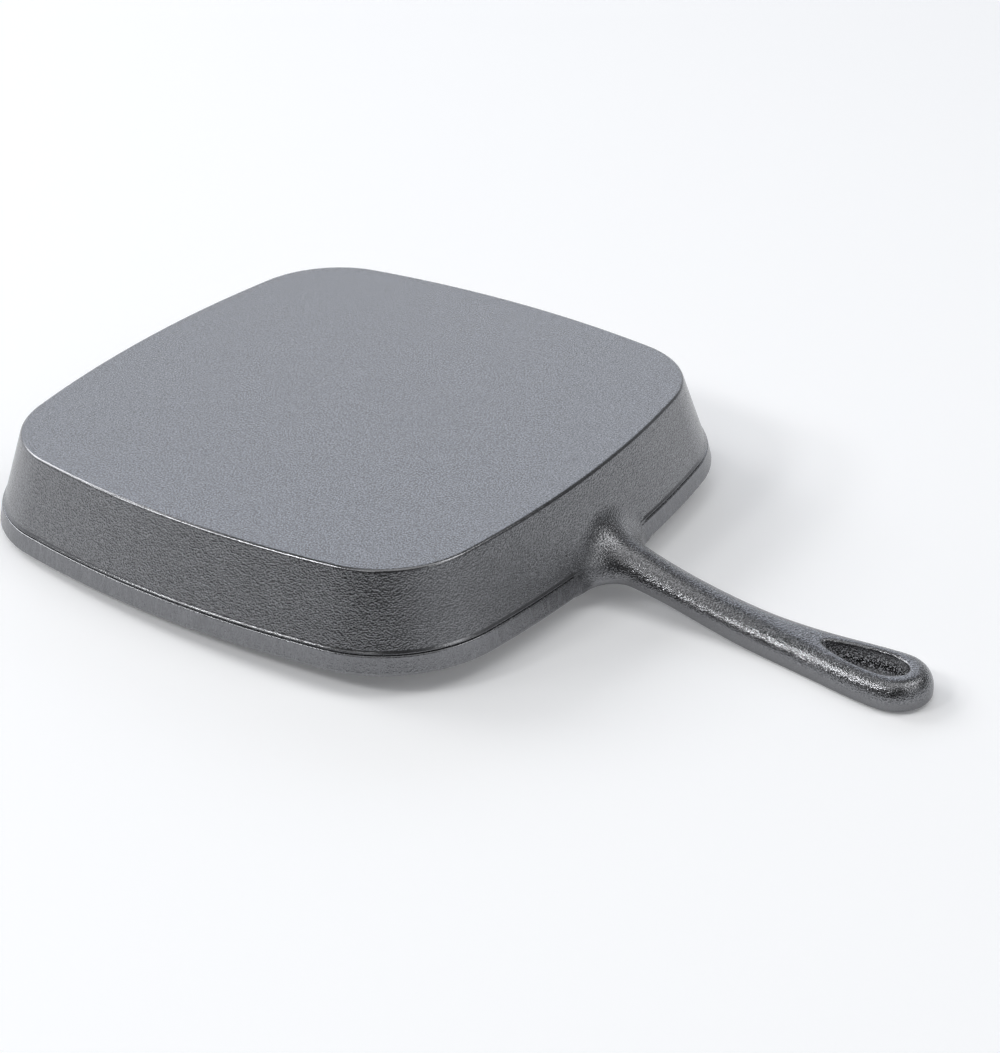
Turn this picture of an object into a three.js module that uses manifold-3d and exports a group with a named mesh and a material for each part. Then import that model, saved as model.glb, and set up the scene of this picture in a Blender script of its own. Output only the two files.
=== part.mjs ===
// A cast iron frying pan, upside down as it lies on a table: a square pan with rounded
// corners and bowed sides, leaning walls, a ground rim band and one long handle.
// Millimetres. The origin is the centre of the base's outer face, +Z points out of the base
// and +X runs along the handle. The pan is one casting, kept as six solids that meet at its
// own edges: base plate, side wall, rim band, handle root, handle grip and handle eye.

import * as THREE from 'three';
import { mergeVertices } from 'three/addons/utils/BufferGeometryUtils.js';
import Module from 'manifold-3d';

// Base
const BASE_WIDTH = 234.4;          // across the flats, at the middle of a side
const SIDE_BOW_RADIUS = 470;       // the sides bow out a little
const BASE_CORNER_RADIUS = 43;
const BASE_EDGE_RADIUS = 1.2;
const FLOOR_THICKNESS = 4.5;

// Wall
const WALL_HEIGHT = 30.9;          // base face to ledge
const WALL_LEAN = 10.4;            // how far the wall leans out over that height
const WALL_THICKNESS = 4.2;        // measured level
const HEEL_RADIUS = 8;             // inside, between floor and wall

// Rim band
const LEDGE_WIDTH = 0.8;
const BAND_HEIGHT = 8.1;           // ledge to rim face
const BAND_LEAN = 1.6;
const RIM_EDGE_RADIUS = 0.8;

// Handle
const HANDLE_REACH = 139;          // rim to handle tip
const HANDLE_THICKNESS = 10.8;
const HANDLE_LIFT = 5.7;           // bar's middle above the rim face, where the bar leaves the pan
const HANDLE_DROP = 8.9;           // bar's middle below the rim face, at the eye
const HANDLE_ANGLE = 19;           // degrees below level, where the bar leaves the pan
const BAR_START = 10;              // rim to where lift and slope are measured
const LEVEL_LENGTH = 19;           // the bar's level end, back from the tip
const NECK_WIDTH = 16.2;
const EYE_WIDTH = 29.8;
const EYE_END_LENGTH = 14.9;       // the rounded end
const EYE_SWELL_LENGTH = 56;       // the bar widens from neck to eye over this length
const SHOULDER_RADIUS = 5;
const BELT_EDGE_RADIUS = 1.2;

// Flare at the handle's root
const ROOT_LENGTH = 22;            // rim to where the grip starts
const FLARE_LENGTH = 16;           // wall to where the flare has run out
const FLARE_SIDE = 13;             // spread at the wall, each side
const FLARE_TOP = 5;               // spread at the wall, towards the base
const FLARE_BOTTOM = 4.5;          // spread at the wall, towards the rim
const FLARE_POWER = 2.6;           // how sharply the flare opens

// Hanging hole, a teardrop
const HOLE_LENGTH = 36.3;
const HOLE_WIDTH = 15.8;
const HOLE_END_WALL = 9.3;         // hole to handle tip
const HOLE_ROUND_END = 9.3;        // length of the round end
const EYE_SHOULDER = 8;            // solid bar between the hole's point and the grip

// Fits and steps
const CASTING_GAP = 0.3;           // handle root to wall
const CUT_MARGIN = 6;              // how far cutting tools reach past what they cut
const ARC_STEPS = 10;              // steps along each side and each corner of the pan
const FILLET_STEPS = 4;
const BAR_STEP = 4;                // spacing of the bar's sections
const ROOT_STEP = 2;               // closer spacing at the root
const BURIED_LENGTH = 3;           // how far the root runs into the wall before it is cut
const END_STEPS = 9;               // steps along half of the rounded end

// Places that follow from the sizes
const BASE_HALF = BASE_WIDTH / 2;
const LEDGE_Z = -WALL_HEIGHT;
const RIM_Z = LEDGE_Z - BAND_HEIGHT;
const RIM_OUT = WALL_LEAN + LEDGE_WIDTH + BAND_LEAN;
const RIM_X = BASE_HALF + RIM_OUT;
const WALL_FOOT_X = BASE_HALF + WALL_LEAN;
const TIP_X = RIM_X + HANDLE_REACH;
const GRIP_START_X = RIM_X + ROOT_LENGTH;
const HOLE_END_X = TIP_X - HOLE_END_WALL;
const HOLE_POINT_X = HOLE_END_X - HOLE_LENGTH;
const EYE_START_X = HOLE_POINT_X - EYE_SHOULDER;
const EYE_END_X = TIP_X - EYE_END_LENGTH;

const wallLean = (z) => (-z / WALL_HEIGHT) * WALL_LEAN;
const innerWall = (z) => wallLean(z) - WALL_THICKNESS;

// The pan's outline, grown outwards by offset: four bowed sides and four corners, all arcs.
function outline(offset) {
  const bowCentre = BASE_HALF - SIDE_BOW_RADIUS;
  const reach = SIDE_BOW_RADIUS - BASE_CORNER_RADIUS;
  const cornerCentre = (bowCentre + Math.sqrt(2 * reach ** 2 - bowCentre ** 2)) / 2;
  const halfBow = Math.atan2(cornerCentre, cornerCentre - bowCentre);
  const middle = new THREE.Vector2();
  const points = [];
  const addArc = (x, y, radius, from, to, turn) => {
    const arc = new THREE.EllipseCurve(x, y, radius, radius, from, to);
    for (const point of arc.getPoints(ARC_STEPS).slice(0, -1)) {
      points.push(point.rotateAround(middle, turn));
    }
  };
  for (let quarter = 0; quarter < 4; quarter += 1) {
    const turn = (quarter * Math.PI) / 2;
    const cornerEnd = Math.PI / 2 - halfBow;
    addArc(bowCentre, 0, SIDE_BOW_RADIUS + offset, -halfBow, halfBow, turn);
    addArc(cornerCentre, cornerCentre, BASE_CORNER_RADIUS + offset, halfBow, cornerEnd, turn);
  }
  return points;
}

const panRing = ([offset, z]) => outline(offset).map((p) => new THREE.Vector3(p.x, p.y, z));

// Joins rings of equal length into one closed body. Rings run anticlockwise seen from the
// side they advance to. A closed set of rings makes a hollow ring; an open set gets end caps.
function loft(rings, closed = false) {
  const count = rings[0].length;
  const points = rings.flat();
  const triangles = [];
  const bands = closed ? rings.length : rings.length - 1;
  for (let band = 0; band < bands; band += 1) {
    const near = band * count;
    const far = ((band + 1) % rings.length) * count;
    for (let i = 0; i < count; i += 1) {
      const next = (i + 1) % count;
      triangles.push(near + i, near + next, far + next, near + i, far + next, far + i);
    }
  }
  const addCap = (ring, first, reversed) => {
    const centre = new THREE.Vector3();
    ring.forEach((point) => centre.add(point));
    points.push(centre.divideScalar(count));
    for (let i = 0; i < count; i += 1) {
      const edge = [first + i, first + ((i + 1) % count)];
      triangles.push(points.length - 1, ...(reversed ? edge.reverse() : edge));
    }
  };
  if (!closed) {
    addCap(rings[0], 0, true);
    addCap(rings.at(-1), (rings.length - 1) * count, false);
  }
  const geometry = new THREE.BufferGeometry().setFromPoints(points);
  geometry.setIndex(triangles);
  geometry.computeVertexNormals();
  return geometry;
}

// Points of a quarter round about a centre, in the plane of a profile.
function round(x, z, radius, from, to) {
  const arc = new THREE.EllipseCurve(x, z, radius, radius, from, to, to < from);
  return arc.getPoints(FILLET_STEPS).map((point) => [point.x, point.y]);
}

const wasm = await Module();
wasm.setup();

function toSolid(geometry) {
  const bare = geometry.clone();
  bare.deleteAttribute('normal');
  bare.deleteAttribute('uv');
  const merged = mergeVertices(bare);
  const vertProperties = new Float32Array(merged.attributes.position.array);
  const triVerts = new Uint32Array(merged.index.array);
  return new wasm.Manifold(new wasm.Mesh({ numProp: 3, vertProperties, triVerts }));
}

function subtract(geometry, tool) {
  const mesh = toSolid(geometry).subtract(toSolid(tool)).getMesh();
  const cut = new THREE.BufferGeometry();
  cut.setAttribute('position', new THREE.BufferAttribute(mesh.vertProperties, mesh.numProp));
  cut.setIndex(new THREE.BufferAttribute(mesh.triVerts, 1));
  cut.computeVertexNormals();
  return cut;
}

// Base plate: the flat cooking plate, with its outer edge rounded.
function basePlate() {
  const lowest = -FLOOR_THICKNESS;
  const edgeZ = -BASE_EDGE_RADIUS;
  const edgeCentre = wallLean(edgeZ) - BASE_EDGE_RADIUS;
  const edge = round(edgeCentre, edgeZ, BASE_EDGE_RADIUS, 0, Math.PI / 2);
  return loft([[wallLean(lowest), lowest], ...edge].map(panRing));
}

// Side wall: a leaning ring with a rounded heel inside, from the base plate to the ledge.
function sideWall() {
  const highest = -FLOOR_THICKNESS;
  const draft = Math.atan2(WALL_LEAN, WALL_HEIGHT);
  const heelZ = highest - HEEL_RADIUS;
  const heelOut = innerWall(heelZ) - HEEL_RADIUS / Math.cos(draft);
  const heel = round(heelOut, heelZ, HEEL_RADIUS, Math.PI / 2, draft);
  const profile = [
    [innerWall(LEDGE_Z), LEDGE_Z],
    [wallLean(LEDGE_Z), LEDGE_Z],
    [wallLean(highest), highest],
    ...heel,
  ];
  return loft(profile.map(panRing), true);
}

// Rim band: stands out from the wall's foot by the ledge, and ends in the ground rim face.
function rimBand() {
  const edgeZ = RIM_Z + RIM_EDGE_RADIUS;
  const innerEdge = innerWall(edgeZ) + RIM_EDGE_RADIUS;
  const outerEdge = RIM_OUT - RIM_EDGE_RADIUS;
  const profile = [
    ...round(innerEdge, edgeZ, RIM_EDGE_RADIUS, Math.PI, 1.5 * Math.PI),
    ...round(outerEdge, edgeZ, RIM_EDGE_RADIUS, 1.5 * Math.PI, 2 * Math.PI),
    [WALL_LEAN + LEDGE_WIDTH, LEDGE_Z],
    [innerWall(LEDGE_Z), LEDGE_Z],
  ];
  return loft(profile.map(panRing), true);
}

// The bar's middle line seen from the side: it falls from the pan and levels out at the eye.
const barStartX = RIM_X + BAR_START;
const barLevelX = TIP_X - LEVEL_LENGTH;
const barThird = (barLevelX - barStartX) / 3;
const barFall = barThird * Math.tan(THREE.MathUtils.degToRad(HANDLE_ANGLE));
const barLine = new THREE.CubicBezierCurve(
  new THREE.Vector2(barStartX, RIM_Z + HANDLE_LIFT),
  new THREE.Vector2(barStartX + barThird, RIM_Z + HANDLE_LIFT - barFall),
  new THREE.Vector2(barLevelX - barThird, RIM_Z - HANDLE_DROP),
  new THREE.Vector2(barLevelX, RIM_Z - HANDLE_DROP),
);
const barMiddle = (x) => barLine.getPoint(Math.min((x - barStartX) / (3 * barThird), 1)).y;

// Half the bar's width seen from above: a neck that swells to the eye and ends round.
function barHalfWidth(x) {
  const swell = THREE.MathUtils.smootherstep(x, EYE_END_X - EYE_SWELL_LENGTH, EYE_END_X);
  const half = THREE.MathUtils.lerp(NECK_WIDTH, EYE_WIDTH, swell) / 2;
  const pastEnd = Math.max(0, x - EYE_END_X) / EYE_END_LENGTH;
  return half * Math.sqrt(Math.max(0, 1 - pastEnd ** 2));
}

// One side of the bar's D section, from the bottom up: [inset from the side, height].
const shoulder = Math.min(SHOULDER_RADIUS, HANDLE_THICKNESS - BELT_EDGE_RADIUS, NECK_WIDTH / 2);
const barSide = [
  [BELT_EDGE_RADIUS, 0],
  [0, BELT_EDGE_RADIUS],
  ...round(-shoulder, HANDLE_THICKNESS - shoulder, shoulder, 0, Math.PI / 2)
    .map(([out, height]) => [-out, height]),
];

// The bar's section at x, run anticlockwise seen from the tip. By the pan it is flared, and
// tilted to lie along the wall.
function barSection(x, flare = 0, tilt = 0) {
  const middle = barMiddle(x);
  const half = barHalfWidth(x) + flare * FLARE_SIDE;
  const bottom = middle - HANDLE_THICKNESS / 2 - flare * FLARE_BOTTOM;
  const top = middle + HANDLE_THICKNESS / 2 + flare * FLARE_TOP;
  const wide = half / barHalfWidth(x);
  const tall = (top - bottom) / HANDLE_THICKNESS;
  const side = barSide.map(([inset, height]) => [half - inset * wide, bottom + height * tall]);
  const far = side.map(([y, z]) => new THREE.Vector3(x + tilt * (middle - z), y, z));
  const near = far.map((point) => new THREE.Vector3(point.x, -point.y, point.z));
  return [...far, ...near.reverse()];
}

// Sections at even steps from one end to the other, joined into a bar.
function bar(fromX, toX, step, section) {
  const steps = Math.max(2, Math.round((toX - fromX) / step));
  const places = Array.from({ length: steps + 1 }, (_, i) => i / steps);
  return loft(places.map((share) => section(THREE.MathUtils.lerp(fromX, toX, share))));
}

// Handle root: the flared start of the bar, cut to the outside of wall and band.
function handleRoot() {
  const wallX = BASE_HALF + wallLean(barMiddle(WALL_FOOT_X));
  const flared = bar(wallX - BURIED_LENGTH, GRIP_START_X, ROOT_STEP, (x) => {
    const flare = Math.max(0, 1 - (x - wallX) / FLARE_LENGTH) ** FLARE_POWER;
    const share = (GRIP_START_X - x) / (GRIP_START_X - wallX);
    return barSection(x, flare, Math.min(share, 1) * WALL_LEAN / WALL_HEIGHT);
  });
  const panOutside = [
    [RIM_OUT, RIM_Z - HANDLE_THICKNESS - CUT_MARGIN],
    [RIM_OUT, RIM_Z + RIM_EDGE_RADIUS],
    [WALL_LEAN + LEDGE_WIDTH, LEDGE_Z],
    [WALL_LEAN, LEDGE_Z],
    [wallLean(CUT_MARGIN), CUT_MARGIN],
  ];
  const tool = loft(panOutside.map(([offset, z]) => panRing([offset + CASTING_GAP, z])));
  return subtract(flared, tool);
}

// The bar's edge seen from above, from the eye's start round the tip, moved in by inset.
function eyeRing([inset, height]) {
  const sideSteps = Math.max(2, Math.round((EYE_END_X - EYE_START_X) / BAR_STEP));
  const side = [];
  for (let i = 0; i <= sideSteps; i += 1) {
    const x = THREE.MathUtils.lerp(EYE_START_X, EYE_END_X, i / sideSteps);
    side.push(new THREE.Vector2(x, barHalfWidth(x) - inset));
  }
  const end = new THREE.EllipseCurve(
    EYE_END_X, 0, EYE_END_LENGTH - inset, EYE_WIDTH / 2 - inset, Math.PI / 2, 0, true,
  );
  const far = [...side, ...end.getPoints(END_STEPS).slice(1, -1)];
  const tip = new THREE.Vector2(TIP_X - inset, 0);
  const near = far.map((point) => new THREE.Vector2(point.x, -point.y));
  const lift = height - HANDLE_THICKNESS / 2;
  return [...near, tip, ...far.reverse()]
    .map((point) => new THREE.Vector3(point.x, point.y, barMiddle(point.x) + lift));
}

// The hanging hole's outline: a point towards the pan, curved sides and a round end.
function teardrop() {
  const half = HOLE_WIDTH / 2;
  const widestX = HOLE_END_X - HOLE_ROUND_END;
  const bluntness = half / 3;
  const handleX = THREE.MathUtils.lerp(HOLE_POINT_X, widestX, 0.5);
  const hole = new THREE.Shape();
  hole.moveTo(HOLE_POINT_X, 0);
  hole.bezierCurveTo(HOLE_POINT_X, -bluntness, handleX, -half, widestX, -half);
  hole.absellipse(widestX, 0, HOLE_ROUND_END, half, -Math.PI / 2, Math.PI / 2);
  hole.bezierCurveTo(handleX, half, HOLE_POINT_X, bluntness, HOLE_POINT_X, 0);
  return hole;
}

// Handle eye: the swollen end of the bar, with the hanging hole through it.
function handleEye() {
  const depth = HANDLE_THICKNESS + 2 * CUT_MARGIN;
  const tool = new THREE.ExtrudeGeometry(teardrop(), {
    depth,
    bevelEnabled: false,
    curveSegments: FILLET_STEPS * 2,
  });
  tool.translate(0, 0, barMiddle(TIP_X) - depth / 2);
  return subtract(loft(barSide.map(eyeRing)), tool);
}

const cast = { color: 0x4d4e51, roughness: 0.55, metalness: 0.6 };
const ground = { color: 0x6b6d72, roughness: 0.45, metalness: 0.7 };

const pan = new THREE.Group();

function addPiece(name, geometry, finish) {
  const piece = new THREE.Mesh(geometry, new THREE.MeshStandardMaterial(finish));
  piece.name = name;
  pan.add(piece);
}

addPiece('base_plate', basePlate(), cast);
addPiece('side_wall', sideWall(), cast);
addPiece('rim_band', rimBand(), ground);
addPiece('handle_root', handleRoot(), cast);
const grip = bar(GRIP_START_X, EYE_START_X, BAR_STEP, (x) => barSection(x));
addPiece('handle_grip', grip, cast);
addPiece('handle_eye', handleEye(), cast);

export default pan;
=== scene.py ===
# %% [markdown]
# # A cast iron frying pan
# The pan lies upside down on a pale table. It is one casting: a square shell with rounded
# corners, a ground band round the rim and a handle that flares out of the wall. The measured
# solids come in as a frame, and every mesh below is built around them in metres, with the
# centre of the base's outer face as origin, +Z out of the base and +X along the handle.

# %% Load the frame
import math

import bmesh
import bpy
from mathutils import Matrix, Vector
from mathutils.geometry import interpolate_bezier
from mathutils.kdtree import KDTree


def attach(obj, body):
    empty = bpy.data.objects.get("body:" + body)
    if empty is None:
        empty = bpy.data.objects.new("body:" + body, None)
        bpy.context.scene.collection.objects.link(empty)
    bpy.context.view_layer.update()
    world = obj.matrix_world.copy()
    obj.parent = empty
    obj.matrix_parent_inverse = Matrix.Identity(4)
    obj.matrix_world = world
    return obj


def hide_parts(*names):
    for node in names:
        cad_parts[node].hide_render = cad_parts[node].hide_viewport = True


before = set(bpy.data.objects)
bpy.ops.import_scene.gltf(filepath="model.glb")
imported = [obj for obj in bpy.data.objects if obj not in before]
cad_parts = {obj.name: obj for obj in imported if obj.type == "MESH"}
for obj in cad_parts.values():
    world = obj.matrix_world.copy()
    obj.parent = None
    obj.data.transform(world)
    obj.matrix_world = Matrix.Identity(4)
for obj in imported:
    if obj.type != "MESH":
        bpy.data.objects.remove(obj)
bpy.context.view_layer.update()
MM = 0.001
print("solids:", sorted(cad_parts))

# %% [markdown]
# ## The camera
# The photograph was taken from a little above, over the corner to the left of the handle. A
# camera is easiest to place by three plain facts: the point it looks at, the direction back
# from that point, and how far it stands. A track quaternion turns the back direction into a
# rotation, and a small roll about the line of sight levels the table.

# %% Place the camera
IMAGE_WIDTH, IMAGE_HEIGHT = 1000, 1053
FOCAL_PIXELS = 2381
LOOK_AT = Vector((0.1111, -0.0539, 0.0))
DISTANCE = 0.9098
SIDEWAYS, UPWARDS, ROLL = math.radians(-54.45), math.radians(30.20), math.radians(-1.31)

back = Vector((
    math.cos(UPWARDS) * math.cos(SIDEWAYS),
    math.cos(UPWARDS) * math.sin(SIDEWAYS),
    math.sin(UPWARDS),
))
lens = bpy.data.cameras.new("photo_camera")
lens.sensor_width = 36.0
lens.lens = FOCAL_PIXELS / max(IMAGE_WIDTH, IMAGE_HEIGHT) * lens.sensor_width
camera = bpy.data.objects.new("photo_camera", lens)
bpy.context.scene.collection.objects.link(camera)
aim = back.to_track_quat("Z", "Y").to_matrix().to_4x4()
place = Matrix.Translation(LOOK_AT + DISTANCE * back)
camera.matrix_world = place @ aim @ Matrix.Rotation(ROLL, 4, "Z")
bpy.context.scene.camera = camera
print("lens of", round(lens.lens, 1), "mm at", [round(c, 3) for c in camera.location])

# %% [markdown]
# ## The pan's outline
# Seen from above, the pan is drawn with arcs alone: four sides that bow out a little and four
# round corners, each arc meeting the next without a kink. Any line that runs round the pan is
# this same outline grown by some offset, and growing an arc only changes its radius. So one
# profile, turned about eight centres in turn, makes the whole body.

# %% Work out the arcs
BASE_HALF = 117.2 * MM
BOW_RADIUS = 470 * MM
CORNER_RADIUS = 43 * MM

bow_centre = BASE_HALF - BOW_RADIUS
reach = BOW_RADIUS - CORNER_RADIUS
corner_centre = (bow_centre + math.sqrt(2 * reach ** 2 - bow_centre ** 2)) / 2
half_bow = math.atan2(corner_centre, corner_centre - bow_centre)
corner_turn = math.pi / 2 - 2 * half_bow
print("corner centre at", round(corner_centre * 1000, 2), "mm,",
      "a side turns", round(math.degrees(2 * half_bow), 2), "degrees")

# %% [markdown]
# ## Drawing a profile like a pen
# A profile is drawn in the plane through the handle. Extruding a single vertex draws a
# straight line to a new one, and spinning a vertex about a centre draws a round. With those
# two moves every edge of the casting gets its true radius, which a bevel after the event would
# only guess at. Flat stretches get a support point close to each round, so that smooth shading
# doesn't bend the light across them.

# %% Pen helpers
ACROSS, UPRIGHT = Vector((0, 1, 0)), Vector((0, 0, 1))


def spot(out, z):
    """A point of the profile: millimetres out from the base's outline, and height."""
    return Vector((BASE_HALF + out * MM, 0, z * MM))


def made(result, key, kind):
    """The vertices, edges or faces that an operator gave back."""
    return [item for item in result[key] if isinstance(item, kind)]


def line_to(mesh, pen, out, z):
    """Draws a straight line from the pen's vertex."""
    pen = bmesh.ops.extrude_vert_indiv(mesh, verts=[pen])["verts"][0]
    pen.co = spot(out, z)
    return pen


def round_to(mesh, pen, out, z, degrees, steps):
    """Draws a round about a centre, turning outwards from upright."""
    turned = bmesh.ops.spin(mesh, geom=[pen], cent=spot(out, z), axis=ACROSS,
                            angle=math.radians(degrees), steps=steps)
    return made(turned, "geom_last", bmesh.types.BMVert)[0]


print("the profile starts", round(spot(0, 0).x, 4), "m out from the middle")

# %% [markdown]
# ## Turning a profile round the pan
# Spinning the finished profile about one arc's centre after another sweeps the whole ring, and
# merging doubles closes the seam where the last step meets the first. Then what is still open
# is filled, and the faces are turned outwards. Rings where hidden faces meet at a corner are
# marked sharp, so that their shading doesn't spill onto the faces that show.

# %% Turning helpers
SIDE_STEPS, CORNER_STEPS = 26, 44
SAME_PLACE = 1e-6


def turn_round_pan(mesh):
    """Turns the drawn profile about each arc of the outline, once round the pan."""
    profile = mesh.verts[:] + mesh.edges[:]
    arcs = [(bow_centre, 0, half_bow, SIDE_STEPS)]
    for quarter in range(4):
        arcs.append((corner_centre, corner_centre, corner_turn, CORNER_STEPS))
        last = quarter == 3
        arcs.append((bow_centre, 0, half_bow if last else 2 * half_bow,
                     SIDE_STEPS if last else 2 * SIDE_STEPS))
    for step, (x, y, angle, steps) in enumerate(arcs):
        quarters = (step - 1) // 2 if step % 2 else step // 2
        middle = Matrix.Rotation(quarters * math.pi / 2, 3, "Z") @ Vector((x, y, 0))
        turned = bmesh.ops.spin(mesh, geom=profile, cent=middle, axis=UPRIGHT,
                                angle=angle, steps=steps)
        profile = turned["geom_last"]
    bmesh.ops.remove_doubles(mesh, verts=mesh.verts[:], dist=0.01 * MM)


def close_piece(mesh, name):
    """Fills what is still open, points every face outwards and makes the object."""
    rims = [edge for edge in mesh.edges if edge.is_boundary]
    bmesh.ops.holes_fill(mesh, edges=rims, sides=0)
    bmesh.ops.recalc_face_normals(mesh, faces=mesh.faces[:])
    for face in mesh.faces:
        face.smooth = True
    data = bpy.data.meshes.new(name)
    mesh.to_mesh(data)
    mesh.free()
    piece = bpy.data.objects.new(name, data)
    bpy.context.scene.collection.objects.link(piece)
    print(name, "has", len(data.polygons), "faces")
    return piece


def crease(mesh, places):
    """Marks the rings at these places of the profile as sharp, where faces are hidden."""
    for out, z in places:
        corner = spot(out, z)
        for edge in mesh.edges:
            level = all(abs(v.co.z - corner.z) < SAME_PLACE for v in edge.verts)
            if level and all(on_ring(v.co, out * MM) for v in edge.verts):
                edge.smooth = False


def on_ring(point, offset):
    """Whether a point lies on the outline grown by an offset."""
    x, y = sorted((abs(point.x), abs(point.y)), reverse=True)
    side = abs(math.hypot(x - bow_centre, y) - BOW_RADIUS - offset)
    corner = abs(math.hypot(x - corner_centre, y - corner_centre) - CORNER_RADIUS - offset)
    return min(side, corner) < SAME_PLACE


print("a ring has", 4 * (2 * SIDE_STEPS + CORNER_STEPS), "steps")

# %% [markdown]
# ## The shell
# Base and wall are poured as one shell, so they are one mesh: the flat base with a small round
# at its edge, the wall leaning out, a low bead at the wall's foot just above the rim band, and
# inside a wall of even thickness with a generous heel. The lean is an angle that several
# rounds share, so it is worked out once. Hands and cloths have rubbed the round and the bead
# smooth, and a layer on the vertices marks them for the finish.

# %% Draw the shell's profile
WALL_HEIGHT, WALL_LEAN, WALL_THICKNESS = 30.9, 10.4, 4.2
FLOOR_THICKNESS, HEEL_RADIUS = 4.5, 8.0
EDGE_RADIUS, PLATE_INSET = 1.6, 40
BEAD_TOP, BEAD_RADIUS, BEAD_OUT = -29.3, 0.35, 0.5
JOINT_Z, GROOVE_OUT = -31.0, 9.3

lean = math.atan2(WALL_LEAN, WALL_HEIGHT)
lean_turn = 90 - math.degrees(lean)


def wall_out(z):
    """How far out the wall's outer face is at a height, in millimetres."""
    return -z * WALL_LEAN / WALL_HEIGHT


def inner_out(z):
    return wall_out(z) - WALL_THICKNESS


def along_wall(out, z, length):
    """A point further down the leaning wall."""
    return out + length * math.sin(lean), z - length * math.cos(lean)


shell_mesh = bmesh.new()
worn = shell_mesh.verts.layers.float.new("ground")
pen = shell_mesh.verts.new(spot(-PLATE_INSET, 0))
edge_out = -EDGE_RADIUS * (1 - math.sin(lean)) / math.cos(lean)
for out in (-24, -12, -5, edge_out - 0.8, edge_out):
    pen = line_to(shell_mesh, pen, out, 0)
pen = round_to(shell_mesh, pen, edge_out, -EDGE_RADIUS, lean_turn, 8)
start = ((pen.co.x - BASE_HALF) / MM, pen.co.z / MM)
foot = (wall_out(BEAD_TOP - 1.0) + BEAD_OUT, BEAD_TOP - 1.05)
for length in (0.5, 3, 10, 18, 26):
    pen = line_to(shell_mesh, pen, *along_wall(*start, length))
for z in (BEAD_TOP, BEAD_TOP - 0.35):
    pen = line_to(shell_mesh, pen, wall_out(z), z)
for out, z in ((foot[0] - 0.13, BEAD_TOP - 0.83), foot):
    pen = line_to(shell_mesh, pen, out, z)
pen = round_to(shell_mesh, pen, foot[0] - BEAD_RADIUS * math.cos(lean),
               foot[1] - BEAD_RADIUS * math.sin(lean), 60, 5)
pen = line_to(shell_mesh, pen, GROOVE_OUT, JOINT_Z + 0.15)
pen = line_to(shell_mesh, pen, GROOVE_OUT, JOINT_Z)
pen = line_to(shell_mesh, pen, inner_out(JOINT_Z), JOINT_Z)
print("outside drawn with", len(shell_mesh.verts), "vertices")

# %% Draw the inside and turn the shell
EDGE_WORN, BEAD_WORN = (-1.0, -0.02), (-30.84, -29.4)

heel_z = -FLOOR_THICKNESS - HEEL_RADIUS
heel_out = inner_out(heel_z) - HEEL_RADIUS / math.cos(lean)
heel_start = (heel_out + HEEL_RADIUS * math.cos(lean), heel_z + HEEL_RADIUS * math.sin(lean))
for length in (18, 9, 1):
    pen = line_to(shell_mesh, pen, *along_wall(*heel_start, length))
pen = line_to(shell_mesh, pen, *heel_start)
pen = round_to(shell_mesh, pen, heel_out, heel_z, -lean_turn, 10)
for out in (heel_out - 1, heel_out - 8, -28, -PLATE_INSET):
    pen = line_to(shell_mesh, pen, out, -FLOOR_THICKNESS)
turn_round_pan(shell_mesh)
for vertex in shell_mesh.verts:
    z = vertex.co.z / MM
    vertex[worn] = float(any(low < z < high for low, high in (EDGE_WORN, BEAD_WORN)))
crease(shell_mesh, [(GROOVE_OUT, JOINT_Z), (inner_out(JOINT_Z), JOINT_Z)])
pan_shell = close_piece(shell_mesh, "pan_shell")

# %% [markdown]
# ## The rim band
# Round the rim runs a thicker band that was ground flat after casting. It stands out from the
# bead by a narrow ledge with a round edge, and the gap between them reads as a fine dark line.
# Its profile is a closed loop, so after the last line the first and last vertex are joined.
# The same layer as on the shell marks its two round edges as smooth.

# %% Draw the rim band's profile
RIM_Z, RIM_RADIUS, LEDGE_RADIUS = -39.0, 0.8, 0.6
BAND_TOP, BAND_FOOT = (11.2, -31.24), (12.8, -38.2)
BAND_JOINT_Z = JOINT_Z - 0.02
LEDGE_DIP, LEDGE_WORN, RIM_WORN = 9, -32.0, -38.0

band_lean = math.atan2(BAND_FOOT[0] - BAND_TOP[0], BAND_TOP[1] - BAND_FOOT[1])
ledge_dip = math.radians(LEDGE_DIP)
half_gap = (math.pi / 2 - band_lean - ledge_dip) / 2
corner_out = math.tan(half_gap) * LEDGE_RADIUS
ledge_start = (BAND_TOP[0] - corner_out * math.cos(ledge_dip),
               BAND_TOP[1] + corner_out * math.sin(ledge_dip))
ledge_middle = (ledge_start[0] - LEDGE_RADIUS * math.sin(ledge_dip),
                ledge_start[1] - LEDGE_RADIUS * math.cos(ledge_dip))
rim_middle = BAND_FOOT[0] - RIM_RADIUS
rim_edge_z = RIM_Z + RIM_RADIUS
inner_middle = inner_out(rim_edge_z) + RIM_RADIUS / math.cos(lean)

band_mesh = bmesh.new()
first = band_mesh.verts.new(spot(inner_out(BAND_JOINT_Z), BAND_JOINT_Z))
pen = line_to(band_mesh, first, GROOVE_OUT, BAND_JOINT_Z)
pen = line_to(band_mesh, pen, ledge_start[0] - 0.2, ledge_start[1] + 0.03)
pen = line_to(band_mesh, pen, *ledge_start)
pen = round_to(band_mesh, pen, *ledge_middle, math.degrees(2 * half_gap), 5)
for share in (0.07, 0.35, 0.65, 0.93):
    pen = line_to(band_mesh, pen, BAND_TOP[0] + share * (BAND_FOOT[0] - BAND_TOP[0]),
                  BAND_TOP[1] + share * (BAND_FOOT[1] - BAND_TOP[1]))
pen = line_to(band_mesh, pen, rim_middle + RIM_RADIUS * math.cos(band_lean),
              rim_edge_z + RIM_RADIUS * math.sin(band_lean))
pen = round_to(band_mesh, pen, rim_middle, rim_edge_z, 90 + math.degrees(band_lean), 8)
pen = line_to(band_mesh, pen, rim_middle - 0.3, RIM_Z)
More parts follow.
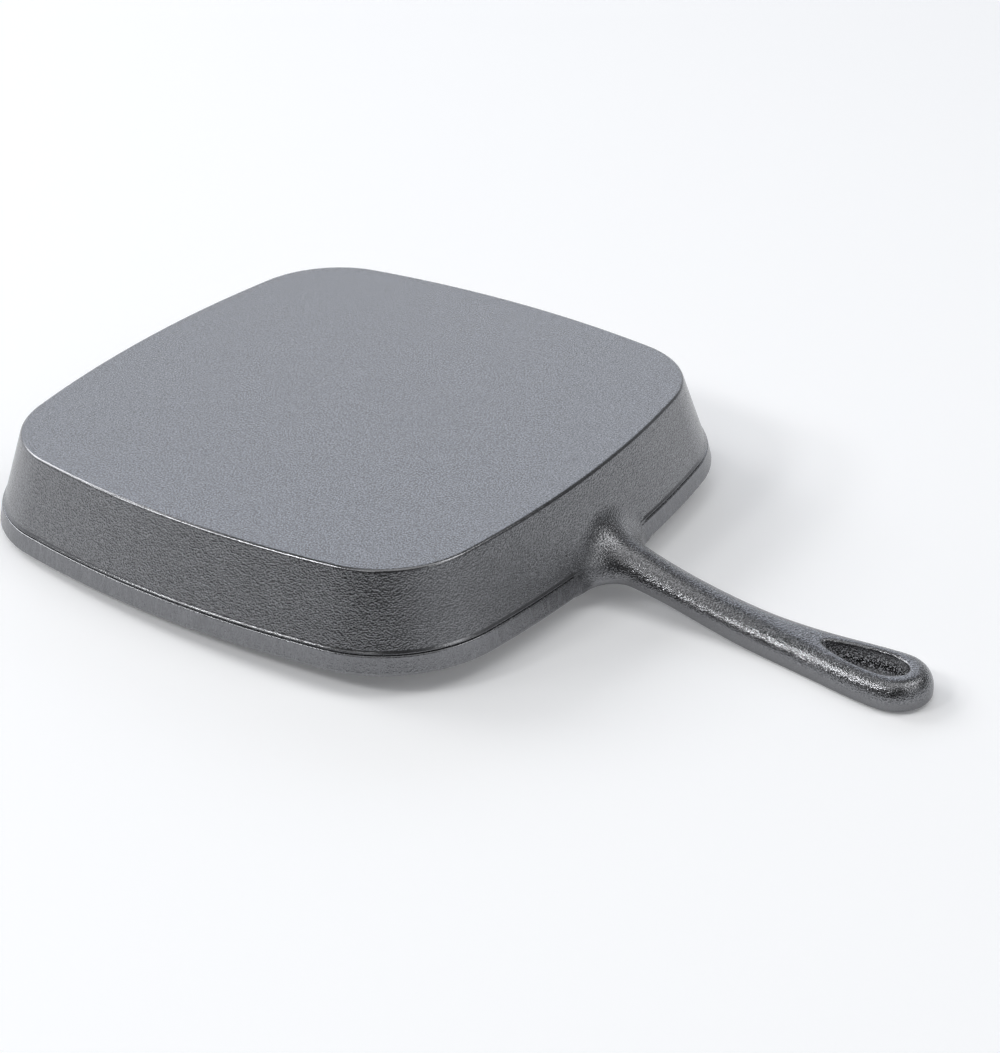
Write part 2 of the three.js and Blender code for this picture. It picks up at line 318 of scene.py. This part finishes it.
pen = line_to(band_mesh, pen, inner_middle + 0.3, RIM_Z)
pen = line_to(band_mesh, pen, inner_middle, RIM_Z)
pen = round_to(band_mesh, pen, inner_middle, rim_edge_z, lean_turn, 6)
pen = line_to(band_mesh, pen, inner_out(-37), -37)
band_mesh.edges.new((pen, first))
print("the band's loop has", len(band_mesh.verts), "vertices")

# %% Turn the rim band
turn_round_pan(band_mesh)
rubbed = band_mesh.verts.layers.float.new("ground")
for vertex in band_mesh.verts:
    vertex[rubbed] = 0.0 if RIM_WORN * MM <= vertex.co.z <= LEDGE_WORN * MM else 1.0
crease(band_mesh, [(GROOVE_OUT, BAND_JOINT_Z), (inner_out(BAND_JOINT_Z), BAND_JOINT_Z)])
ground_rim = close_piece(band_mesh, "ground_rim")

# %% [markdown]
# ## The handle's lines
# The handle is a bar of D section. Seen from the side it falls away from the pan and levels
# out; seen from above it is slim, then swells into an eye with a teardrop hole. A few
# measured stations with a smooth curve through them give every size along its length.

# %% Stations along the handle
TOPS = [(110, -16.8), (120, -20.3), (130, -23.8), (140, -27.4), (150, -30.6), (160, -33.3),
        (170, -35.5), (180, -37.3), (190, -38.7), (200, -39.85), (212, -40.75),
        (226, -41.6), (242, -42.1), (256, -42.2), (270, -42.2)]
BOTTOMS = [(110, -39.2), (130, -39.3), (143, -40.4), (150, -41.5), (157, -42.9), (167, -45.3),
           (178, -47.9), (189, -50.1), (200, -51.5), (211, -52.3), (226, -52.95),
           (242, -53.25), (250, -53.3), (270, -53.3)]
WIDTHS = [(120, 9.6), (135, 9.6), (145, 9.4), (155, 9.0), (167, 8.8), (180, 8.8), (190, 9.05),
          (200, 9.5), (212, 10.4), (226, 11.95), (240, 13.9), (250, 14.8), (256, 14.9),
          (270, 14.9)]
BELTS = [(120, 2.2), (145, 2.2), (155, 2.7), (167, 3.6), (178, 4.5), (190, 5.0), (200, 4.8),
         (215, 4.4), (230, 4.0), (245, 3.6), (270, 3.4)]
SHOULDERS = [(110, 30), (160, 30), (175, 9.5), (195, 8.8), (212, 8.0), (226, 7.0), (245, 6.2),
             (270, 6.0)]


def smooth_through(stations, x):
    """A value at x on a curve through the stations, level at its highs and lows."""
    before = max(i for i, (place, _) in enumerate(stations[:-1]) if place <= x or i == 0)
    (x0, y0), (x1, y1) = stations[before:before + 2]
    slope = (y1 - y0) / (x1 - x0)

    def tilt(i):
        if i in (0, len(stations) - 1):
            return 0.0
        (xa, ya), (xb, yb), (xc, yc) = stations[i - 1:i + 2]
        left, right = (yb - ya) / (xb - xa), (yc - yb) / (xc - xb)
        return 0.0 if left * right <= 0 else 2 * left * right / (left + right)

    t = min(max((x - x0) / (x1 - x0), 0), 1)
    span = x1 - x0
    return ((1 + 2 * t) * (1 - t) ** 2 * y0 + t * (1 - t) ** 2 * span * tilt(before)
            + t * t * (3 - 2 * t) * y1 - t * t * (1 - t) * span * tilt(before + 1))


print("the handle is", round(smooth_through(TOPS, 200) - smooth_through(BOTTOMS, 200), 1),
      "mm thick and", round(2 * smooth_through(WIDTHS, 200), 1), "mm wide at its middle")

# %% [markdown]
# ## The hole and the rows
# The hole starts as a rounded point, widens along a bezier and ends in half an ellipse. The
# bar is built in rows that run from its middle, or from the hole's edge, out to its side: they
# lie square across the bar and swing round like spokes at the tip. Half of the bar is enough,
# because the other half is its mirror image.

# %% Lay out the rows
HOLE_POINT, HOLE_WIDEST, HOLE_END = 223.3, 249.0, 259.3
HOLE_HALF, EYE_HALF, END_X = 7.0, 14.9, 254.1
LIP_RADIUS, LOWER_LIP_RADIUS = 1.3, 0.8
GRIP_START, ROW_STEP = 150, 2.5

point = Vector((HOLE_POINT, 0, 0))
widest = Vector((HOLE_WIDEST, HOLE_HALF, 0))
hole_side = interpolate_bezier(point, point + Vector((0, 2.8, 0)),
                               widest - Vector((11, 0, 0)), widest, 30)
spokes = [math.radians(90 - 90 * step / 20) for step in range(1, 21)]
hole_end = [Vector((HOLE_WIDEST + (HOLE_END - HOLE_WIDEST) * math.cos(angle),
                    HOLE_HALF * math.sin(angle), 0)) for angle in spokes]


def eye_side(angle):
    """Where a spoke from the hole's widest place meets the handle's round end."""
    away = END_X - HOLE_WIDEST
    span = EYE_HALF / max(math.sin(angle), 1e-6)
    if span * math.cos(angle) > away:
        across = away * math.cos(angle)
        span = across + math.sqrt(across ** 2 + EYE_HALF ** 2 - away ** 2)
    return Vector((HOLE_WIDEST + span * math.cos(angle), span * math.sin(angle), 0))


rows = []
near_point = [HOLE_POINT - LIP_RADIUS * (1 - math.sin(math.radians(a))) for a in range(0, 90, 15)]
for x in [GRIP_START + ROW_STEP * step for step in range(29)] + near_point:
    rows.append((Vector((x, 0, 0)), Vector((x, smooth_through(WIDTHS, x), 0))))
for edge in hole_side:
    rows.append((edge, Vector((edge.x, smooth_through(WIDTHS, edge.x), 0))))
for edge, angle in zip(hole_end, spokes):
    rows.append((edge, eye_side(angle)))

hole_edge = KDTree(4000)
for i, (a, b) in enumerate(zip((hole_side + hole_end)[:-1], (hole_side + hole_end)[1:])):
    for j in range(40):
        hole_edge.insert(a.lerp(b, j / 40), i * 40 + j)
hole_edge.balance()
print(len(rows), "rows from the grip to the tip")

# %% [markdown]
# ## The bar's section
# Each row becomes a section: over the top in a dome, down the belt that was ground along the
# parting line, and back underneath. The dome is a superellipse, whose power says how full the
# shoulder is: 2 is a plain ellipse, and more makes it squarer. Near the hole the surface dips
# into a soft lip. The drop is worked out from the distance to the hole's edge, so the lip is
# equally round at the point, along the sides and round the end.

# %% Section of the bar
BOTTOM_RADIUS, FULLNESS = 1.5, 2.0
TOP_SPREAD = [0, 0.004, 0.015, 0.035, 0.07, 0.12, 0.2, 0.32, 0.46, 0.6]
SHOULDER_STEPS, BELT_STEPS, BOTTOM_STEPS = 9, 4, 4


def dip(distance, radius):
    """How far a rounded edge has dropped, at a distance from that edge."""
    inside = 1 - min(distance / radius, 1)
    return radius * (1 - math.sqrt(max(0, 1 - inside ** 2)))


def bar_section(inner, outer, extra=0.0):
    """Half a section from the middle of the top to the middle of the bottom."""
    width = (outer - inner).length
    shoulder = min(smooth_through(SHOULDERS, outer.x), 0.97 * width)
    low = smooth_through(BOTTOMS, outer.x)
    belt_top = low + smooth_through(BELTS, outer.x)
    first = math.asin(1 - 0.4 * width / shoulder)
    turns = [first + (math.pi / 2 - first) * step / SHOULDER_STEPS
             for step in range(1, SHOULDER_STEPS + 1)]
    places = [share * width for share in TOP_SPREAD]
    places += [width - shoulder * (1 - math.sin(turn)) for turn in turns]
    points = []
    for place in places:
        point = inner.lerp(outer, place / width)
        bend = (1 - max(0, 1 - (width - place) / shoulder) ** FULLNESS) ** (1 / FULLNESS)
        crown = smooth_through(TOPS, point.x) + extra
        point.z = belt_top + (crown - belt_top) * bend
        point.z -= dip(hole_edge.find(point.xy.to_3d())[2], LIP_RADIUS)
        points.append(point * MM)
    belt_end = low + BOTTOM_RADIUS
    for step in range(1, BELT_STEPS + 1):
        point = outer.copy()
        point.z = belt_top + (belt_end - belt_top) * step / BELT_STEPS
        points.append(point * MM)
    turns = [math.pi / 2 * step / BOTTOM_STEPS for step in range(1, BOTTOM_STEPS + 1)]
    under = [(width - BOTTOM_RADIUS * (1 - math.cos(turn)), BOTTOM_RADIUS * (1 - math.sin(turn)))
             for turn in turns]
    under += [(share / 0.6 * (width - BOTTOM_RADIUS), 0) for share in TOP_SPREAD[-2::-1]]
    for place, rise in under:
        point = inner.lerp(outer, place / width)
        rise += dip(hole_edge.find(point)[2], LOWER_LIP_RADIUS)
        point.z = smooth_through(BOTTOMS, point.x) + rise
        points.append(point * MM)
    return points


print(len(bar_section(*rows[0])), "points in a section")

# %% [markdown]
# ## The flare
# Where the handle leaves the pan it spreads sideways and up the wall in hollow rounds that
# run out flat on the wall. Each section here is the bar's own section, made wider and higher
# by such rounds. Close to the pan it leans and bows with the wall. The rounds go on for a
# little inside the wall, so that both surfaces meet at a grazing angle and no joint shows.

# %% Section of the flare
FLARE_SIDE, FLARE_TOP = 15.0, 8.0
ROOT_LENGTH = 23.0
FLARE_Z = -28.4
BLEND_TOP, BLEND_SPAN = -27.5, 6


def pan_x(y, z):
    """Where the pan's outside is, wall or band, at a place across the handle and a height."""
    share = min(max((BLEND_TOP - z) / BLEND_SPAN, 0), 1)
    band = BAND_TOP[0] + (BAND_TOP[1] - z) * math.tan(band_lean)
    out = wall_out(z) + (band - wall_out(z)) * share * share * (3 - 2 * share)
    return bow_centre / MM + math.sqrt((BOW_RADIUS / MM + out) ** 2 - y ** 2)


def hollow(distance, size):
    """The spread of a hollow round: nothing far out, its size at the wall, more inside it."""
    away = min(abs(distance), size)
    rise = math.sqrt(size ** 2 - (size - away) ** 2)
    return size - rise if distance > 0 else size + rise


def flare_section(distance):
    """Half a section at a distance out from the wall."""
    start = pan_x(0, FLARE_Z)
    x = start + distance
    share = min(max(distance / ROOT_LENGTH, 0), 1)
    likeness = 1 - share * share * (3 - 2 * share)
    half = smooth_through(WIDTHS, x) + hollow(distance, FLARE_SIDE)
    points = bar_section(Vector((x, 0, 0)), Vector((x, half, 0)), hollow(distance, FLARE_TOP))
    for point in points:
        point.x += likeness * (pan_x(point.y / MM, point.z / MM) - start) * MM
    return points


roots = [-0.7, -0.08] + [FLARE_SIDE * (1 - math.sin(math.radians(90 - 6 * s))) for s in range(16)]
roots += [FLARE_SIDE + step for step in (2, 4, 6)]
sections = [flare_section(distance) for distance in roots]
sections += [bar_section(inner, outer) for inner, outer in rows]
print(len(sections), "sections along the handle")

# %% [markdown]
# ## Sweeping the handle
# The first section is a chain of vertices. Extruding its edges gives the next row of faces,
# and each new vertex goes to its place in the next section. A whole-number layer remembers
# which place that is, because an extrusion copies it. A second layer marks the ground belt for
# the finish. Mirroring makes the far half, and a bridge between the two open loops of the hole
# makes the hole's wall.

# %% Sweep, mirror and open the hole
bar_mesh = bmesh.new()
order = bar_mesh.verts.layers.int.new("order")
ground = bar_mesh.verts.layers.float.new("ground")
chain = [bar_mesh.verts.new(point) for point in sections[0]]
belt_first = len(TOP_SPREAD) + SHOULDER_STEPS - 1
belt_last = belt_first + BELT_STEPS + BOTTOM_STEPS
for i, vertex in enumerate(chain):
    vertex[order] = i
    vertex[ground] = 1.0 if belt_first <= i <= belt_last else 0.0
edges = [bar_mesh.edges.new(pair) for pair in zip(chain, chain[1:])]
for section in sections[1:]:
    grown = bmesh.ops.extrude_edge_only(bar_mesh, edges=edges)
    edges = made(grown, "geom", bmesh.types.BMEdge)
    for vertex in made(grown, "geom", bmesh.types.BMVert):
        vertex.co = section[vertex[order]]
bmesh.ops.mirror(bar_mesh, geom=bar_mesh.verts[:] + bar_mesh.edges[:] + bar_mesh.faces[:],
                 axis="Y", merge_dist=0.002 * MM)
bmesh.ops.remove_doubles(bar_mesh, verts=bar_mesh.verts[:], dist=0.002 * MM)
hole_rims = [edge for edge in bar_mesh.edges
             if edge.is_boundary and min(v.co.x for v in edge.verts) > 0.2]
bridge = bmesh.ops.bridge_loops(bar_mesh, edges=hole_rims)
print("bridged", len(hole_rims), "edges with", len(bridge["faces"]), "faces")

# %% [markdown]
# ## The parting ridge
# The two halves of the mould met low in the hole and left a ridge there. The bridge's edges
# are cut into four, and each new ring of vertices moves along its normal, which points into
# the hole, so that the wall draws in to the ridge and out again below it. No hand reaches in
# there, so the layer marks the hole's wall as rough with a number below zero, which also
# gives it painted shade and painted glints.

# %% Shape the hole's wall
RIDGE_Z = -48.7
RIDGE_RINGS = [(0.45, 0.45), (0.0, 0.65), (-0.5, 0.30)]

wall_edges = bridge["edges"]
cut = bmesh.ops.subdivide_edges(bar_mesh, edges=wall_edges, cuts=3)
ring_verts = made(cut, "geom_inner", bmesh.types.BMVert)
bar_mesh.normal_update()
moves = {}
for vertex in ring_verts:
    high = smooth_through(TOPS, vertex.co.x / MM) - LIP_RADIUS
    low = smooth_through(BOTTOMS, vertex.co.x / MM) + LOWER_LIP_RADIUS
    ring = round((high - vertex.co.z / MM) / (high - low) * 4)
    height, inwards = RIDGE_RINGS[ring - 1]
    level = Vector((vertex.normal.x, vertex.normal.y, 0)).normalized()
    # Below zero also paints shade and bright glints into the hole's colour.
    vertex[ground] = -1.0
    moves[vertex] = vertex.co + level * inwards * MM
    moves[vertex].z = (RIDGE_Z + height) * MM
for vertex, place in moves.items():
    vertex.co = place
handle = close_piece(bar_mesh, "handle")
print("ridge of", len(ring_verts), "vertices")

# %% [markdown]
# ## Cast iron
# Sand leaves iron with a skin like orange peel: rounded grains of less than a millimetre, with
# finer grit on top and slow waves underneath. All three are noise on object coordinates, fed
# into bump. The oil that was baked on is dark and glossy, so the grains glint where they face
# a lamp. The layer on the vertices flattens the grains where they were rubbed, and in the hole
# makes them deeper. In the hole it also paints shade into the colour over most grains, and
# lifts the brightest into painted glints.

# %% Node helpers
def add(tree, kind, sockets=(), **settings):
    """Adds a node, with its settings and the values of its sockets."""
    node = tree.nodes.new(kind)
    for name, value in settings.items():
        setattr(node, name, value)
    for name, value in dict(sockets).items():
        node.inputs[name].default_value = value
    return node


def new_finish(name):
    finish = bpy.data.materials.new(name)
    finish.use_nodes = True
    tree = finish.node_tree
    return finish, tree, tree.nodes["Principled BSDF"]


def noise(tree, where, scale, detail, roughness=0.5):
    node = add(tree, "ShaderNodeTexNoise",
               {"Scale": scale, "Detail": detail, "Roughness": roughness})
    tree.links.new(where, node.inputs["Vector"])
    return node.outputs["Fac"]


def spread(tree, value, low, high, new_low, new_high):
    """Maps a range of a value onto another range."""
    node = add(tree, "ShaderNodeMapRange", {
        "From Min": low, "From Max": high, "To Min": new_low, "To Max": new_high})
    tree.links.new(value, node.inputs["Value"])
    return node.outputs["Result"]


def maths(tree, operation, first, second):
    node = add(tree, "ShaderNodeMath", operation=operation)
    for socket, value in zip(node.inputs, (first, second)):
        if isinstance(value, (int, float)):
            socket.default_value = value
        else:
            tree.links.new(value, socket)
    return node.outputs["Value"]


def bump(tree, height, distance, strength, under=None):
    node = add(tree, "ShaderNodeBump", {"Distance": distance, "Strength": strength})
    tree.links.new(height, node.inputs["Height"])
    if under is not None:
        tree.links.new(under, node.inputs["Normal"])
    return node


print("helpers for nodes: add, new_finish, noise, spread, maths, bump")

# %% The relief of the cast skin
cast, tree, shader = new_finish("cast_skin")
where = add(tree, "ShaderNodeTexCoord").outputs["Object"]
waves = noise(tree, where, 60, 2)
grains = noise(tree, where, 1500, 1, 0.5)
grit = noise(tree, where, 2400, 1)
blotches = noise(tree, where, 300, 3, 0.6)
smooth = add(tree, "ShaderNodeAttribute", attribute_name="ground").outputs["Fac"]
# In the hole the layer is below zero: the grains are deeper there, and the colour gets painted
# shade.
hidden = spread(tree, smooth, -1, 0, 1, 0)
roughened = maths(tree, "ADD", spread(tree, smooth, 0, 1, 1.0, 0.2),
                  maths(tree, "MULTIPLY", hidden, 1.4))

low_bump = bump(tree, waves, 0.0008, 0.25)
grain_bump = bump(tree, grains, 0.00021, 1.0, low_bump.outputs["Normal"])
tree.links.new(roughened, grain_bump.inputs["Strength"])
grit_bump = bump(tree, grit, 0.00006, 0.5, grain_bump.outputs["Normal"])
tree.links.new(grit_bump.outputs["Normal"], shader.inputs["Normal"])
print("relief of", len(tree.nodes), "nodes")

# %% The tone of the cast skin
tone = add(tree, "ShaderNodeValToRGB")
tone.color_ramp.elements[0].position = 0.36
tone.color_ramp.elements[0].color = (0.145, 0.147, 0.152, 1)
tone.color_ramp.elements[1].position = 0.66
tone.color_ramp.elements[1].color = (0.275, 0.278, 0.290, 1)
mixed = maths(tree, "ADD", maths(tree, "MULTIPLY", grains, 0.85),
              maths(tree, "MULTIPLY", blotches, 0.15))
mixed = maths(tree, "MULTIPLY", maths(tree, "SUBTRACT", mixed, 0.5), roughened)
tree.links.new(maths(tree, "ADD", mixed, 0.5), tone.inputs["Fac"])
# In the hole the tone is scaled by the grains: most are darkened as painted shade, the brightest
# lifted as painted glints.
painted_hole_shade_and_glints = spread(tree, grains, 0.48, 0.62, -0.95, 1.3)
shade = add(tree, "ShaderNodeVectorMath", operation="SCALE")
tree.links.new(tone.outputs["Color"], shade.inputs[0])
tree.links.new(maths(tree, "ADD", maths(tree, "MULTIPLY", painted_hole_shade_and_glints, hidden), 1.0),
               shade.inputs["Scale"])
tree.links.new(shade.outputs["Vector"], shader.inputs["Base Color"])
tree.links.new(spread(tree, blotches, 0.3, 0.7, 0.18, 0.24), shader.inputs["Roughness"])
shader.inputs["Metallic"].default_value = 0.9
print("cast skin of", len(tree.nodes), "nodes")

# %% [markdown]
# ## Ground iron
# Grinding wears the peel down and leaves fine streaks across the band. Noise that is squeezed
# in two directions and stretched in the third draws such streaks: stretched along Z, they
# stand upright all round the pan without any unwrapping. What is left of the grains shows
# between them, and the band's round edges are the smoothest.

# %% The ground band
ground_iron, tree, shader = new_finish("ground_iron")
where = add(tree, "ShaderNodeTexCoord").outputs["Object"]
stretch = add(tree, "ShaderNodeMapping", {"Scale": (700, 700, 40)})
tree.links.new(where, stretch.inputs["Vector"])
streaks = noise(tree, stretch.outputs["Vector"], 1.0, 3, 0.55)
grains = noise(tree, where, 1600, 1, 0.5)

streak_bump = bump(tree, streaks, 0.00006, 0.3)
grain_bump = bump(tree, grains, 0.00020, 0.9, streak_bump.outputs["Normal"])
smooth = add(tree, "ShaderNodeAttribute", attribute_name="ground").outputs["Fac"]
tree.links.new(spread(tree, smooth, 0, 1, 0.6, 0.1), grain_bump.inputs["Strength"])
tree.links.new(grain_bump.outputs["Normal"], shader.inputs["Normal"])

tone = add(tree, "ShaderNodeValToRGB")
tone.color_ramp.elements[0].position = 0.25
tone.color_ramp.elements[0].color = (0.155, 0.157, 0.164, 1)
tone.color_ramp.elements[1].position = 0.75
tone.color_ramp.elements[1].color = (0.265, 0.268, 0.280, 1)
mixed = maths(tree, "ADD", maths(tree, "MULTIPLY", streaks, 0.5),
              maths(tree, "MULTIPLY", grains, 0.5))
tree.links.new(mixed, tone.inputs["Fac"])
tree.links.new(tone.outputs["Color"], shader.inputs["Base Color"])
tree.links.new(spread(tree, streaks, 0.3, 0.7, 0.22, 0.30), shader.inputs["Roughness"])
shader.inputs["Metallic"].default_value = 0.9
print("ground iron of", len(tree.nodes), "nodes")

# %% [markdown]
# ## Dressing the pieces
# Nothing on the pan moves, so all three meshes ride on its one body. Each says which solids it
# stands for, and those are hidden, and which of the part's finishes it wears.

# %% Dress the pieces
for piece, finish, slot, nodes in (
    (pan_shell, cast, "cast", ("base_plate", "side_wall")),
    (ground_rim, ground_iron, "ground", ("rim_band",)),
    (handle, cast, "cast", ("handle_root", "handle_grip", "handle_eye")),
):
    piece.data.materials.append(finish)
    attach(piece, "root")
    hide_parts(*nodes)
    print(piece.name, "stands for", ", ".join(nodes))

# %% [markdown]
# ## The table
# The pan rests on the far side of its rim and on the tip of the handle, so the table leans
# against the pan's own frame by about two degrees. Its height is found by asking which vertex
# reaches furthest down along the table's normal. The table is a plain pale surface that takes
# the shadow. For the camera and for reflections it has a little light of its own, and far
# away, where the lamps don't reach, it is white by itself.

# %% Lay the table
FAR_RIM_X, TIP_X, TIP_LOW = -129.2, 263.0, -53.3
TABLE_RADIUS = 60

tilt = math.atan2(RIM_Z - TIP_LOW, TIP_X - FAR_RIM_X)
normal = Vector((math.sin(tilt), 0, math.cos(tilt)))
lowest = min(normal.dot(v.co) for piece in (ground_rim, handle) for v in piece.data.vertices)

table_mesh = bmesh.new()
bmesh.ops.create_circle(table_mesh, cap_ends=True, segments=96,
                        radius=TABLE_RADIUS)
bmesh.ops.rotate(table_mesh, verts=table_mesh.verts[:], cent=(0, 0, 0),
                 matrix=Matrix.Rotation(tilt, 3, "Y"))
bmesh.ops.translate(table_mesh, verts=table_mesh.verts[:], vec=normal * lowest)
table = close_piece(table_mesh, "table")
print("table tilted by", round(math.degrees(tilt), 2), "degrees")

# %% The table's surface
NEAR, FAR, NEAR_GLOW = 0.8, 2.4, 0.14

paper, tree, shader = new_finish("table_paper")
tree.nodes.remove(shader)
ray = add(tree, "ShaderNodeLightPath")
matte = add(tree, "ShaderNodeBsdfDiffuse", {"Color": (0.90, 0.905, 0.915, 1)})
glow = add(tree, "ShaderNodeEmission", {"Color": (0.97, 0.98, 1.0, 1)})
seen = maths(tree, "MAXIMUM", ray.outputs["Is Camera Ray"], ray.outputs["Is Glossy Ray"])
seen = maths(tree, "MAXIMUM", seen, ray.outputs["Is Transmission Ray"])
away = add(tree, "ShaderNodeVectorMath", operation="LENGTH")
tree.links.new(add(tree, "ShaderNodeTexCoord").outputs["Object"], away.inputs[0])
white = spread(tree, away.outputs["Value"], NEAR, FAR, NEAR_GLOW, 1.0)
tree.links.new(maths(tree, "MULTIPLY", seen, white), glow.inputs["Strength"])
both = add(tree, "ShaderNodeAddShader")
tree.links.new(matte.outputs[0], both.inputs[0])
tree.links.new(glow.outputs[0], both.inputs[1])
tree.links.new(both.outputs[0], tree.nodes["Material Output"].inputs["Surface"])
table.data.materials.append(paper)
print("the table is white by itself from", FAR, "m")

# %% [markdown]
# ## Light
# Dark metal shows the room it stands in, so the room counts as much as the lamps. A white cove
# stands behind and to the left, under a ceiling that dims with height. The wall on the right
# is grey, and the room towards the camera is dark. All this is the world's strength, which
# follows the direction. A small lamp on the left and a flat one beside it draw the bright
# lines on the handle's shoulder and the base's edge, a wide cool one behind lights up the
# base, one on the right catches the flare, and the others fill the shadows.

# %% The room
COVE = Vector((-0.85, 0.53, 0))
BACKDROP = Vector((-0.70, 0.71, 0))

room = bpy.data.worlds.new("studio")
bpy.context.scene.world = room
room.use_nodes = True
tree = room.node_tree
sky = tree.nodes["Background"]
where = add(tree, "ShaderNodeTexCoord").outputs["Generated"]
ways = add(tree, "ShaderNodeSeparateXYZ")
tree.links.new(where, ways.inputs[0])


def wall(direction, full, level):
    """White towards a direction, fading round to the other side of the room."""
    facing = add(tree, "ShaderNodeVectorMath", operation="DOT_PRODUCT")
    tree.links.new(where, facing.inputs[0])
    facing.inputs[1].default_value = direction
    return maths(tree, "POWER", spread(tree, facing.outputs["Value"], -0.7, full, 0, level), 3)


ceiling = spread(tree, ways.outputs["Z"], 0.48, 0.84, 1.0, 0.36)
cove = maths(tree, "MULTIPLY", wall(COVE, 0.75, 0.96), ceiling)
low = spread(tree, ways.outputs["Z"], 0.20, 0.30, 1.0, 0.0)
backdrop = maths(tree, "MULTIPLY", wall(BACKDROP, 0.5, 1.0), low)
right_wall = spread(tree, ways.outputs["X"], 0.6, 0.95, 0.03, 0.4)
strength = maths(tree, "MAXIMUM", maths(tree, "MAXIMUM", cove, backdrop), right_wall)
tree.links.new(strength, sky.inputs["Strength"])
sky.inputs["Color"].default_value = (0.95, 0.97, 1.0, 1)
print("room of", len(tree.nodes), "nodes")

# %% The lamps
LAMP_DISTANCE = 3.0
PAN_MIDDLE = Vector((0.08, 0, -0.03))


def softbox(name, direction, size, power, tint=(1, 1, 1)):
    """A soft lamp, wide and high, that looks at the pan from a direction."""
    lamp = bpy.data.lights.new(name, "AREA")
    lamp.shape = "RECTANGLE"
    lamp.size, lamp.size_y = size
    lamp.energy = power
    lamp.color = tint
    box = bpy.data.objects.new(name, lamp)
    bpy.context.scene.collection.objects.link(box)
    towards = Vector(direction).normalized()
    turn = towards.to_track_quat("Z", "Y").to_matrix().to_4x4()
    box.matrix_world = Matrix.Translation(PAN_MIDDLE + towards * LAMP_DISTANCE) @ turn


softbox("left_softbox", (-0.38, -0.64, 0.67), (0.5, 0.5), 15)
softbox("edge_softbox", (-0.62, -0.56, 0.54), (0.9, 0.35), 12)
softbox("front_softbox", (0.05, -0.62, 0.78), (1.0, 1.0), 6)
softbox("side_softbox", (-0.80, -0.05, 0.60), (1.2, 1.2), 24)
softbox("right_softbox", (0.82, -0.02, 0.57), (0.8, 0.8), 4)
softbox("far_softbox", (0.50, 0.32, 0.80), (1.1, 1.1), 14)
softbox("back_softbox", (-0.59, 0.59, 0.55), (3.0, 0.9), 11, (0.80, 0.86, 1.0))
softbox("top_softbox", (0.1, 0, 1), (2.2, 2.2), 16)
bpy.context.scene.view_settings.view_transform = "Standard"
